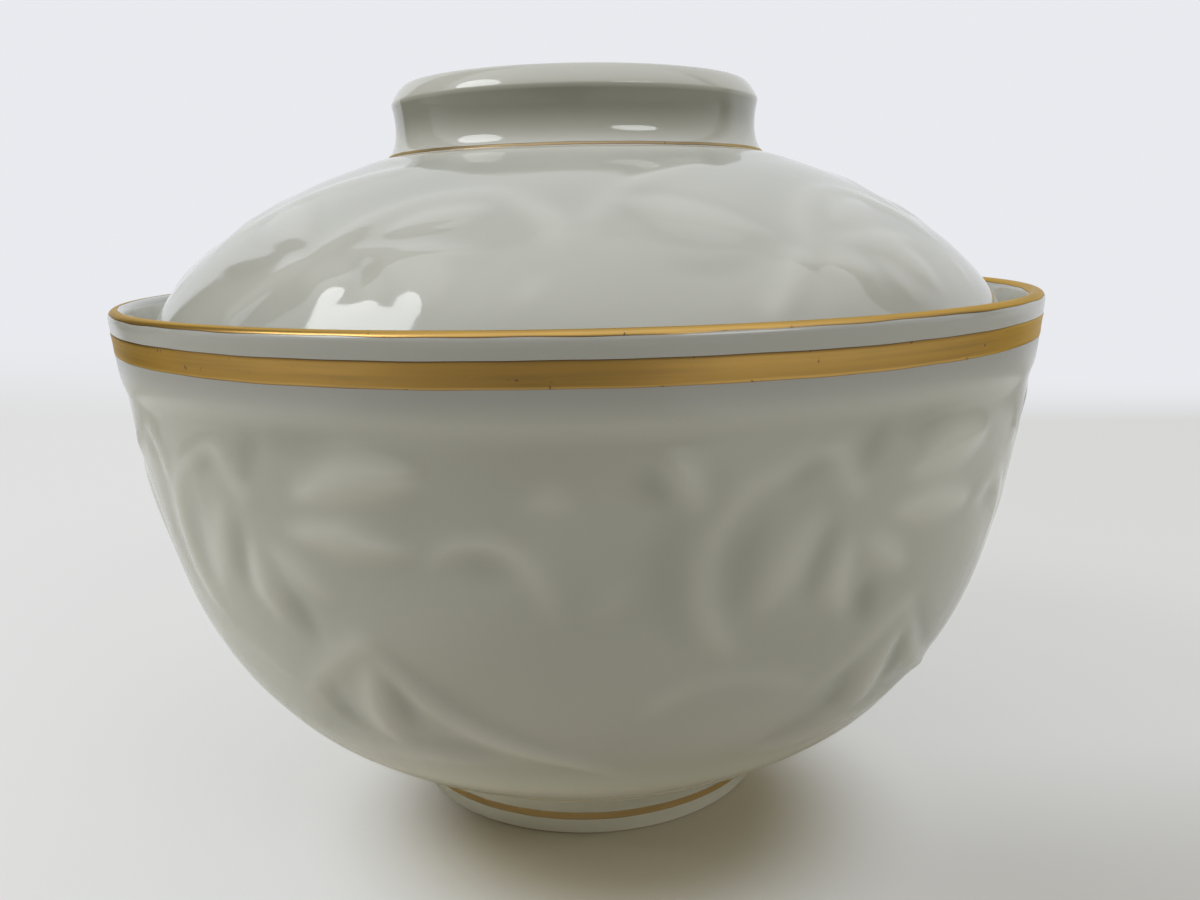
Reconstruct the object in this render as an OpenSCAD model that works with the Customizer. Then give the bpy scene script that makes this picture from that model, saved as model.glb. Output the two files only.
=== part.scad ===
// Lidded rice bowl in glazed porcelain, with a ring foot and a lid that sits inside the rim.
// The bowl and the lid are solids of revolution about Z. Z = 0 is the table under the foot.

/* [Bowl] */
// Outer radius of the bowl at its rim
rim_r = 60; // [54:0.5:68]
// Height of the bowl from the table to the top of its rim
bowl_h = 68.9; // [62:0.1:80]
// Thickness of the rounded rim
rim_t = 2; // [1.6:0.1:2.8]
// Thickness of the bowl's floor over the recess in the foot
floor_t = 4.5; // [3.5:0.1:6]

/* [Foot ring] */
// Outer radius of the foot ring just above the table
foot_r = 25; // [22:0.1:28]
// Outer radius where the foot ring runs into the bowl
foot_root_r = 26.8; // [25:0.1:30]
// Height at which the foot ring runs into the bowl
foot_h = 5.9; // [5:0.1:7]
// Width of the foot ring at the table
foot_t = 3; // [2.4:0.1:4]
// Radius of the rounded edges of the foot ring
foot_edge_r = 0.6; // [0.3:0.1:0.9]
// Depth of the recess inside the foot ring
foot_recess_h = 5; // [4.2:0.1:5.6]
// How far the wall of the recess leans inward on its way up
foot_draft = 0.9; // [0:0.1:1.5]

/* [Lid] */
// Depth of the lid's edge below the top of the bowl's rim
lid_drop = 11.3; // [8:0.1:15]
// Clearance between the lid's edge and the bowl's inner wall
seat_gap = 0.3; // [0.2:0.05:0.6]
// Thickness of the lid's rounded edge
lid_edge_t = 2.4; // [1.8:0.1:3]
// Rise of the lid's outside from its edge to the foot of the knob
lid_rise = 28.7; // [24:0.1:33]
// Thickness of the lid inside the knob
lid_t = 3.1; // [2.4:0.1:4]

/* [Ring knob] */
// Outer radius of the knob where it stands on the lid
knob_base_r = 25.2; // [22:0.1:28]
// Outer radius of the knob at its shoulder
knob_top_r = 24.3; // [22:0.1:28]
// Height of the knob above the lid
knob_h = 9.2; // [7:0.1:11]
// Thickness of the knob at its shoulder
knob_t = 3.2; // [2.4:0.1:4]
// Radius of the knob's rounded crest
knob_crest_r = 1.1; // [0.8:0.1:1.2]
// Radius of the shoulder between the knob's wall and the bevel below its crest
knob_shoulder_r = 0.4; // [0.2:0.1:0.8]
// How far the bevel faces upward, in degrees
knob_bevel_angle = 45; // [35:1:60]
// How far the knob's wall is drawn in between its base and its top
knob_waist = 0.6; // [0.3:0.05:1.4]
// Depth of the recess inside the knob
knob_recess_h = 5.7; // [4.5:0.1:6.5]
// How far the wall of the recess leans inward on its way down
knob_draft = 0.8; // [0:0.1:1.5]

/* [Gilding] */
// Thickness of the gold, which lies flush in the glaze
gild_t = 0.15; // [0.08:0.01:0.2]
// How far the gold on the rim comes down from the rim's top
rim_gild_h = 0.4; // [0.3:0.05:0.8]
// Drop from the rim's top to the wide gold band
band_drop = 2.5; // [2:0.1:4]
// Width of the wide gold band
band_w = 2.4; // [1.6:0.1:3.2]
// Height of the middle of the gold line on the foot ring
foot_line_h = 3.2; // [2:0.1:4]
// Width of the gold line on the foot ring
foot_line_w = 1.3; // [0.5:0.1:1.6]
// Width of the gold line at the foot of the knob
knob_line_w = 0.4; // [0.3:0.05:0.9]

/* [Hidden] */
$fn = 96;

// Steps along each curve of an outline, and round each rounded edge
curve_steps = 26;
round_steps = 10;

porcelain = [0.80, 0.80, 0.74];
gold = [0.72, 0.52, 0.20];

// Pull of each curve's two inner control points, as shares of the way between its two ends
foot_pull_shares = [[0.20, 0.28], [0.62, 0.62]];
wall_pull_shares = [[0.63, 0.19], [0.895, 0.28]];
hollow_pull_shares = [[0.565, 0], [0.897, 0.031]];
dome_pull_shares = [[-0.07, 0.45], [0.53, 0.88]];
lid_hollow_pull_shares = [[0.544, 0], [0.998, 0.492]];

// How far up the knob's wall its waist pulls, as shares of the wall's height
waist_pull_shares = [0.2, 0.65];

// Heights and radii that follow from the driving sizes
bowl_floor_h = foot_recess_h + floor_t;
rim_mid_h = bowl_h - rim_t / 2;
lid_edge_mid_h = bowl_h - lid_drop + lid_edge_t / 2;
lid_r = inner_r_at(lid_edge_mid_h) - seat_gap;
dome_top_h = bowl_h - lid_drop + lid_rise;
knob_top_h = dome_top_h + knob_h;
knob_floor_h = knob_top_h - knob_recess_h;
lid_roof_h = knob_floor_h - lid_t;

// Middles of the knob's rounded crest and of its shoulder, which share the bevel as their tangent
knob_crest_mid = [knob_top_r - knob_t + knob_crest_r, knob_top_h - knob_crest_r];
knob_bevel = knob_crest_mid * [cos(knob_bevel_angle), sin(knob_bevel_angle)] + knob_crest_r - knob_shoulder_r;
knob_shoulder_mid_r = knob_top_r - knob_shoulder_r;
knob_shoulder_mid_h =
    (knob_bevel - knob_shoulder_mid_r * cos(knob_bevel_angle)) / sin(knob_bevel_angle);

// Point at the given shares of the way from a to b
function between(a, b, shares) =
    [a[0] + (b[0] - a[0]) * shares[0], a[1] + (b[1] - a[1]) * shares[1]];

// Point of a curve from a to d that is pulled towards b and c
function curve_point(a, b, c, d, t) =
    pow(1 - t, 3) * a + 3 * t * pow(1 - t, 2) * b + 3 * t * t * (1 - t) * c + pow(t, 3) * d;

// All points of such a curve, both ends included
function curve(a, b, c, d) = [for (i = [0:curve_steps]) curve_point(a, b, c, d, i / curve_steps)];

// Points of an arc about the middle m, between two angles
function arc(m, r, from, to) =
    [for (i = [0:round_steps])
        let (angle = from + (to - from) * i / round_steps)
        m + r * [cos(angle), sin(angle)]];

// Outside of the bowl, from the root of the foot ring up to the rim
function bowl_outside() =
    let (a = [foot_root_r, foot_h], d = [rim_r, rim_mid_h])
    curve(a, between(a, d, wall_pull_shares[0]), between(a, d, wall_pull_shares[1]), d);

// Inside of the bowl, from the middle of the floor up to the rim
function bowl_inside() =
    let (a = [0, bowl_floor_h], d = [rim_r - rim_t, rim_mid_h])
    curve(a, between(a, d, hollow_pull_shares[0]), between(a, d, hollow_pull_shares[1]), d);

// Radius of the bowl's inner wall at a height
function inner_r_at(h) = lookup(h, [for (p = bowl_inside()) [p[1], p[0]]]);

// Outside of the foot ring, from the table up to its root
function foot_outside() =
    let (a = [foot_r, foot_edge_r], d = [foot_root_r, foot_h])
    curve(a, between(a, d, foot_pull_shares[0]), between(a, d, foot_pull_shares[1]), d);

// Underside of the bowl from the axis: the recess, then the foot ring's standing face
function foot_underside() =
    let (inner_r = foot_r - foot_t)
    concat(
        [[0, foot_recess_h], [inner_r - foot_draft, foot_recess_h]],
        arc([inner_r + foot_edge_r, foot_edge_r], foot_edge_r, 180, 270),
        arc([foot_r - foot_edge_r, foot_edge_r], foot_edge_r, 270, 360)
    );

// Outside of the lid, from its edge up to the foot of the knob
function lid_outside() =
    let (a = [lid_r, lid_edge_mid_h], d = [knob_base_r, dome_top_h])
    curve(a, between(a, d, dome_pull_shares[0]), between(a, d, dome_pull_shares[1]), d);

// Inside of the lid, from the middle of its roof down to its edge
function lid_inside() =
    let (a = [0, lid_roof_h], d = [lid_r - lid_edge_t, lid_edge_mid_h])
    curve(a, between(a, d, lid_hollow_pull_shares[0]), between(a, d, lid_hollow_pull_shares[1]), d);

// Wall of the knob from the lid up to its shoulder
function knob_outside() =
    let (a = [knob_base_r, dome_top_h], d = [knob_top_r, knob_shoulder_mid_h])
    let (waist_r = knob_top_r - knob_waist, rise = d[1] - a[1])
    curve(a, [waist_r, a[1] + rise * waist_pull_shares[0]], [waist_r, a[1] + rise * waist_pull_shares[1]], d);

module bowl_outline() {
    polygon(concat(
        foot_underside(),
        foot_outside(),
        bowl_outside(),
        arc([rim_r - rim_t / 2, rim_mid_h], rim_t / 2, 0, 180),
        [for (i = [curve_steps:-1:0]) bowl_inside()[i]]
    ));
}

module lid_outline() {
    polygon(concat(
        lid_inside(),
        arc([lid_r - lid_edge_t / 2, lid_edge_mid_h], lid_edge_t / 2, 180, 360),
        lid_outside(),
        knob_outside(),
        arc([knob_shoulder_mid_r, knob_shoulder_mid_h], knob_shoulder_r, 0, knob_bevel_angle),
        arc(knob_crest_mid, knob_crest_r, knob_bevel_angle, 180),
        [[knob_top_r - knob_t - knob_draft, knob_floor_h], [0, knob_floor_h]]
    ));
}

// A slice of an outline's skin on its outer side, as thick as the gold, between two heights
module skin(from_h, to_h) {
    intersection() {
        difference() {
            children();
            translate([-gild_t, 0]) children();
        }
        translate([0, from_h]) square([2 * rim_r, to_h - from_h]);
    }
}

module rim_gilding_outline() {
    intersection() {
        difference() {
            bowl_outline();
            polygon(arc([rim_r - rim_t / 2, rim_mid_h], rim_t / 2 - gild_t, 0, 180));
        }
        translate([0, bowl_h - rim_gild_h]) square([2 * rim_r, bowl_h]);
    }
}

module wide_gold_band_outline() {
    skin(bowl_h - band_drop - band_w, bowl_h - band_drop) bowl_outline();
}

module foot_gold_line_outline() {
    skin(foot_line_h - foot_line_w / 2, foot_line_h + foot_line_w / 2) bowl_outline();
}

module knob_gold_line_outline() {
    skin(dome_top_h, dome_top_h + knob_line_w) lid_outline();
}

// Porcelain bowl with its foot ring, let in for the gold
module bowl() {
    color(porcelain) rotate_extrude() difference() {
        bowl_outline();
        rim_gilding_outline();
        wide_gold_band_outline();
        foot_gold_line_outline();
    }
}

// Gold over the rounded rim
module rim_gilding() {
    color(gold) rotate_extrude() rim_gilding_outline();
}

// Wide gold band below the rim
module wide_gold_band() {
    color(gold) rotate_extrude() wide_gold_band_outline();
}

// Gold line round the foot ring
module foot_gold_line() {
    color(gold) rotate_extrude() foot_gold_line_outline();
}

// Porcelain lid with its ring knob, let in for the gold
module lid() {
    color(porcelain) rotate_extrude() difference() {
        lid_outline();
        knob_gold_line_outline();
    }
}

// Gold line round the foot of the knob
module knob_gold_line() {
    color(gold) rotate_extrude() knob_gold_line_outline();
}

bowl();
rim_gilding();
wide_gold_band();
foot_gold_line();
lid();
knob_gold_line();
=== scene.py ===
"""Lidded rice bowl in glazed porcelain, carved with leaf sprays and lined with fired gold.

Sizes of the pieces are in millimetres and become metres when a mesh is made. Textures, lights and
the shading of the floor are in metres. Azimuths are in degrees, from the front (-Y) round towards +X.
"""

import logging
import math
from dataclasses import dataclass
from enum import Enum
from typing import ClassVar

import bpy
import numpy as np
from mathutils import Matrix, Vector


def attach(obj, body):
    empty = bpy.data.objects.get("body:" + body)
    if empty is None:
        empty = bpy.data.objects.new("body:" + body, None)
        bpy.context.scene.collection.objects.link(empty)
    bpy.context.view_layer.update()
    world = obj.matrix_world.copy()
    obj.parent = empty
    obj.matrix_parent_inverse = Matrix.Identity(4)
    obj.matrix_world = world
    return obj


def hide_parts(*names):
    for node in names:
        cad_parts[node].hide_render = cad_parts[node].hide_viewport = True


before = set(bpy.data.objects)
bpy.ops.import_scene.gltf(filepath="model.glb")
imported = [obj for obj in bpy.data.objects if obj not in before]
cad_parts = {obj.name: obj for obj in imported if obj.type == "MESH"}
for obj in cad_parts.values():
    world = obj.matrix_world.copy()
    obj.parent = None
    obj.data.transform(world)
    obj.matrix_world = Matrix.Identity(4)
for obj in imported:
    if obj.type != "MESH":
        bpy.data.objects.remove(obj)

LOG = logging.getLogger("lidded_bowl")
MM = 0.001

# Columns of points round the axis in every turned piece
AROUND = 520
# Points that a curve and an arc are sampled at before their rows are spaced evenly
CURVE_POINTS = 400
ARC_POINTS = 90
# Least length that a direction is worked out from
TINY_RUN = 1e-9
# Middle of the values that a noise texture gives
MID_NOISE = 0.5

Point = tuple[float, float]
Place = tuple[float, float, float]
Colour = tuple[float, float, float]

BACKDROP: Colour = (0.81, 0.825, 0.86)
DIM_ROOM: Colour = (0.115, 0.103, 0.078)


class Taper(Enum):
    """How a carved stroke's width and height run from its start to its end."""

    EVEN = "even, with short soft ends"
    LEAF = "full in the middle, fine at both ends"
    TAIL = "full at the start, fine at the end"


class Body(Enum):
    """The bodies that the pieces ride on."""

    BOWL = "bowl"
    LID = "lid"


class Slot(Enum):
    """The material slots that the pieces belong to."""

    PORCELAIN = "porcelain"
    GILDING = "gilding"


def cubic(start: Point, pull_a: Point, pull_b: Point, end: Point) -> np.ndarray:
    """Samples a cubic curve.

    Args:
        start: First point, as radius and height.
        pull_a: Control point next to the start.
        pull_b: Control point next to the end.
        end: Last point.

    Returns:
        An array of points, one row each.
    """
    t = np.linspace(0.0, 1.0, CURVE_POINTS)[:, None]
    a, b, c, d = (np.array(p, float) for p in (start, pull_a, pull_b, end))
    return (1 - t) ** 3 * a + 3 * t * (1 - t) ** 2 * b + 3 * t * t * (1 - t) * c + t**3 * d


def between(start: Point, end: Point, shares: Point) -> Point:
    """Gives the point at the given shares of the way from start to end."""
    return tuple(a + (b - a) * share for a, b, share in zip(start, end, shares))


def pulled(start: Point, end: Point, shares: tuple[Point, Point]) -> np.ndarray:
    """Samples the curve from start to end that two control points, given as shares, pull."""
    return cubic(start, between(start, end, shares[0]), between(start, end, shares[1]), end)


def arc(middle: Point, radius: float, start: float, end: float) -> np.ndarray:
    """Samples an arc.

    Args:
        middle: Centre of the arc.
        radius: Its radius.
        start: First angle in degrees, 0 being outwards and 90 up.
        end: Last angle in degrees.

    Returns:
        An array of points, one row each.
    """
    angles = np.radians(np.linspace(start, end, ARC_POINTS))
    return np.array(middle) + radius * np.stack([np.cos(angles), np.sin(angles)], axis=1)


def lengths_along(points: np.ndarray) -> np.ndarray:
    """Gives each point's distance from the first, measured along the line."""
    steps = np.hypot(*np.diff(points, axis=0).T)
    return np.concatenate([[0.0], np.cumsum(steps)])


def resampled(points: np.ndarray, rows: int) -> np.ndarray:
    """Spaces a line's points evenly along it.

    Args:
        points: The line's points.
        rows: How many points to return, both ends included.

    Returns:
        The evenly spaced points.
    """
    along = lengths_along(points)
    places = np.linspace(0.0, along[-1], rows)
    return np.stack([np.interp(places, along, points[:, k]) for k in (0, 1)], axis=1)


def smooth_step(values: np.ndarray, low: float, high: float) -> np.ndarray:
    """Rises softly from 0 at low to 1 at high."""
    t = np.clip((values - low) / (high - low), 0.0, 1.0)
    return t * t * (3 - 2 * t)


def outward(points: np.ndarray) -> np.ndarray:
    """Finds the unit normals of an outline that is walked with its solid on the left.

    Args:
        points: The outline's points.

    Returns:
        One normal for each point, as radius and height.
    """
    run = np.gradient(points, axis=0)
    run /= np.maximum(np.hypot(run[:, 0], run[:, 1]), TINY_RUN)[:, None]
    return np.stack([run[:, 1], -run[:, 0]], axis=1)


def next_round(index: np.ndarray) -> np.ndarray:
    """Gives each point's neighbour further round the axis."""
    return np.roll(index, -1, axis=-1)


def placed(name: str, data: bpy.types.ID) -> bpy.types.Object:
    """Makes an object and links it to the scene.

    Args:
        name: Name of the object.
        data: Its mesh, light or camera.

    Returns:
        The new object.
    """
    made = bpy.data.objects.new(name, data)
    bpy.context.scene.collection.objects.link(made)
    return made


def turned_mesh(name: str, radii: np.ndarray, heights: np.ndarray, ring: bool) -> bpy.types.Object:
    """Turns rows of points about the axis.

    Args:
        name: Name of the piece.
        radii: Radius of each point, one row for each point of the outline, in millimetres.
        heights: Height of each point, in the same layout.
        ring: True for an outline that closes on itself, False for one that ends on the axis.

    Returns:
        The new object, smooth shaded and linked to the scene.
    """
    around = radii.shape[1]
    turn = np.linspace(0.0, 2 * math.pi, around, endpoint=False)
    points = np.stack([radii * np.sin(turn), -radii * np.cos(turn), heights], axis=2) * MM
    if ring:
        points = points.reshape(-1, 3)
        index = np.arange(len(points)).reshape(-1, around)
        lower, upper, fans = index, np.roll(index, -1, axis=0), []
    else:
        # The first and the last row lie on the axis, and each becomes one point
        points = np.vstack([points[0, :1], points[1:-1].reshape(-1, 3), points[-1, -1:]])
        index = np.arange(1, len(points) - 1).reshape(-1, around)
        lower, upper = index[:-1], index[1:]
        first, last = index[0], index[-1]
        fans = [
            *np.stack([np.zeros_like(first), next_round(first), first], axis=1).tolist(),
            *np.stack([last, next_round(last), np.full_like(last, len(points) - 1)], axis=1).tolist(),
        ]
    quads = np.stack([lower, next_round(lower), next_round(upper), upper], axis=2).reshape(-1, 4)
    mesh = bpy.data.meshes.new(name)
    mesh.from_pydata(points.tolist(), [], quads.tolist() + fans)
    mesh.polygons.foreach_set("use_smooth", [True] * len(mesh.polygons))
    mesh.update()
    return placed(name, mesh)


def paint_points(piece: bpy.types.Object, name: str, values: np.ndarray) -> None:
    """Stores one number for each point of a turned piece, for its material to read.

    Args:
        piece: A piece made by turned_mesh.
        name: Name of the attribute.
        values: The numbers, in the layout of the radii that made the piece.
    """
    flat = values.ravel()
    if len(piece.data.vertices) != flat.size:
        around = values.shape[1]
        flat = np.concatenate([flat[:1], flat[around:-around], flat[-1:]])
    layer = piece.data.attributes.new(name, "FLOAT", "POINT")
    layer.data.foreach_set("value", flat.astype(np.float32))


def paint_rows(piece: bpy.types.Object, name: str, values: np.ndarray) -> None:
    """Stores one number for each row of a turned piece, the same all the way round."""
    paint_points(piece, name, np.repeat(values[:, None].astype(float), AROUND, axis=1))


def declare(piece: bpy.types.Object, body: Body, node: str) -> None:
    """Ties a piece to what it stands for, and logs it.

    Args:
        piece: The piece.
        body: The body that it rides on.
        node: The solid that it replaces.
    """
    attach(piece, body.value)
    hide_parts(node)
    LOG.info("%s rides on %s with %d faces", piece.name, body.value, len(piece.data.polygons))


@dataclass(frozen=True)
class WallScale:
    """The radius of a wall by distance along it, which turns degrees into millimetres."""

    along: np.ndarray
    radii: np.ndarray

    def __call__(self, s: np.ndarray) -> np.ndarray:
        """Gives the wall's radius at each distance along it."""
        return np.interp(s, self.along, self.radii)


@dataclass(frozen=True)
class Stroke:
    """One carved line or lobe, along a smooth path on the wall.

    The path's points are (degrees from the spray's middle, millimetres up the wall). Width and
    height are in millimetres, and a negative height is a hollow.
    """

    path: tuple[Point, ...]
    width: float
    height: float
    taper: Taper = Taper.EVEN

    # Points of a straight path, and of each span of a bent one
    STRAIGHT_POINTS: ClassVar[int] = 8
    SPAN_POINTS: ClassVar[int] = 6
    # Powers and shares that shape the tapers
    LEAF_POWER: ClassVar[float] = 0.7
    TAIL_POWER: ClassVar[float] = 0.8
    TAIL_LEFT: ClassVar[float] = 0.02
    END_SHARES: ClassVar[Point] = (-0.04, 0.14)
    FINEST_SHARE: ClassVar[float] = 0.15

    def smooth_path(self) -> np.ndarray:
        """Runs a smooth curve through the path's points.

        Returns:
            The curve's points, one row each.
        """
        points = np.array(self.path, float)
        if len(points) == 2:
            return np.linspace(points[0], points[1], self.STRAIGHT_POINTS)
        ends = np.vstack([2 * points[0] - points[1], points, 2 * points[-1] - points[-2]])
        t = np.linspace(0.0, 1.0, self.SPAN_POINTS, endpoint=False)[:, None]
        spans = []
        # Each span runs from b to c, and heads from a towards c at b and from b towards d at c
        for a, b, c, d in zip(ends, ends[1:], ends[2:], ends[3:]):
            bend = (2 * a - 5 * b + 4 * c - d) * t**2
            ease = (3 * b - a - 3 * c + d) * t**3
            spans.append((2 * b + (c - a) * t + bend + ease) / 2)
        return np.vstack([*spans, points[-1:]])

    def fullness(self, share: np.ndarray) -> np.ndarray:
        """Works out how full the stroke is.

        Args:
            share: Places along the stroke, from 0 at its start to 1 at its end.

        Returns:
            The fullness at each place, from 0 to 1.
        """
        if self.taper is Taper.LEAF:
            return np.sin(math.pi * np.clip(share, 0.0, 1.0)) ** self.LEAF_POWER
        if self.taper is Taper.TAIL:
            return np.clip(1 + self.TAIL_LEFT - share**2, self.TAIL_LEFT, 1.0) ** self.TAIL_POWER
        return smooth_step(np.minimum(share, 1 - share), *self.END_SHARES)

    def relief(self, x: np.ndarray, s: np.ndarray, radius_at: WallScale) -> np.ndarray:
        """Works out the stroke's height over part of the wall.

        Args:
            x: Degrees from the spray's middle, one value for each point.
            s: Millimetres up the wall.
            radius_at: The wall's radius by distance up the wall.

        Returns:
            The height that the stroke adds, in millimetres.
        """
        path = self.smooth_path()
        path_x = np.radians(path[:, 0]) * radius_at(path[:, 1])
        path_s = path[:, 1]
        across = np.radians(x) * radius_at(s)
        run = np.hypot(np.diff(path_x), np.diff(path_s))
        before = np.concatenate([[0.0], np.cumsum(run)])
        nearest = np.full(x.shape, np.inf)
        share = np.zeros(x.shape)
        for k, length in enumerate(run):
            run_x, run_s = (path_x[k + 1] - path_x[k]) / length, (path_s[k + 1] - path_s[k]) / length
            t = np.clip((across - path_x[k]) * run_x + (s - path_s[k]) * run_s, 0.0, length)
            away = np.hypot(across - path_x[k] - t * run_x, s - path_s[k] - t * run_s)
            closer = away < nearest
            nearest = np.where(closer, away, nearest)
            share = np.where(closer, (before[k] + t) / before[-1], share)
        full = self.fullness(share)
        width = self.width * np.maximum(full, self.FINEST_SHARE)
        return self.height * np.sqrt(full) * np.exp(-((nearest / width) ** 2))


def rounded_by_glaze(height: np.ndarray, passes: int) -> np.ndarray:
    """Softens carving as the glaze does that fills its sharp corners.

    Args:
        height: Heights, rows up the wall by columns round the axis.
        passes: How many times each point is averaged with its neighbours.

    Returns:
        The softened heights.
    """
    for _ in range(passes):
        height = (np.roll(height, 1, axis=1) + 2 * height + np.roll(height, -1, axis=1)) / 4
        framed = np.pad(height, ((1, 1), (0, 0)), "edge")
        height = (framed[:-2] + 2 * framed[1:-1] + framed[2:]) / 4
    return height


@dataclass(frozen=True)
class CarvedZone:
    """A zone of wall whose ground is cut back and which carries a spray, repeated round the axis.

    Heights and depths are in millimetres up the wall and into it, and middles and reach in degrees.
    Each of the waves that the turning left has a count round the axis, a slope in radians per
    millimetre up the wall, and a phase.
    """

    strokes: tuple[Stroke, ...]
    middles: tuple[float, ...]
    low_edge: float
    high_edge: float
    edge_widths: Point
    ground_depth: float
    spray_reach: float = 64.0
    waves: tuple[tuple[float, float, float], ...] = ((5, 0.21, 0.0), (11, -0.33, 1.7))
    wave_height: float = 0.03
    glaze_passes: int = 2
    full_pool_depth: float = 0.9

    def relief(self, azimuths: np.ndarray, along: np.ndarray, scale: WallScale) -> np.ndarray:
        """Works out the carving over the whole wall.

        Args:
            azimuths: Azimuth of each column, in degrees.
            along: Distance of each row up the wall, in millimetres.
            scale: The wall's radius by that distance.

        Returns:
            Heights in millimetres above the plain wall, rows by columns.
        """
        x, s = np.meshgrid(azimuths, along)
        zone = smooth_step(s, self.low_edge, self.low_edge + self.edge_widths[0])
        zone *= 1 - smooth_step(s, self.high_edge - self.edge_widths[1], self.high_edge)
        height = -self.ground_depth * zone
        for middle in self.middles:
            offset = (x - middle + 180.0) % 360.0 - 180.0
            near = np.abs(offset) < self.spray_reach
            here = np.zeros(x.shape)
            for stroke in self.strokes:
                here[near] += stroke.relief(offset[near], s[near], scale)
            height += here * zone
        turn = np.radians(x)
        waves = sum(np.sin(count * turn + slope * s + phase) for count, slope, phase in self.waves)
        return rounded_by_glaze(height + self.wave_height * waves * zone, self.glaze_passes)

    def pooling(self, relief: np.ndarray) -> np.ndarray:
        """Gives how much glaze has pooled at each point of the carving, from 0 to 1."""
        return np.clip(-relief / self.full_pool_depth, 0.0, 1.0)


def carved_turning(
    name: str, before: list[np.ndarray], wall: np.ndarray, after: list[np.ndarray], carving: CarvedZone
) -> tuple[bpy.types.Object, np.ndarray, np.ndarray]:
    """Turns an outline about the axis, with carving worked into its wall.

    Args:
        name: Name of the piece.
        before: Stretches of the outline that come before the wall.
        wall: The stretch that is carved.
        after: Stretches that come after the wall.
        carving: What is carved.

    Returns:
        The piece, the outline's rows as radius and height, and how much glaze has pooled at each
        point, in rows and columns.
    """
    rows = np.vstack([*before, wall, *after])
    first = sum(len(stretch) for stretch in before)
    span = slice(first, first + len(wall))
    along = lengths_along(wall)
    azimuths = np.linspace(0.0, 360.0, AROUND, endpoint=False)
    relief = carving.relief(azimuths, along, WallScale(along, wall[:, 0]))
    normal = outward(wall)
    radii = np.repeat(rows[:, :1], AROUND, axis=1)
    heights = np.repeat(rows[:, 1:], AROUND, axis=1)
    radii[span] += normal[:, :1] * relief
    heights[span] += normal[:, 1:] * relief
    pooled = np.zeros_like(radii)
    pooled[span] = carving.pooling(relief)
    return turned_mesh(name, radii, heights, False), rows, pooled


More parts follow.
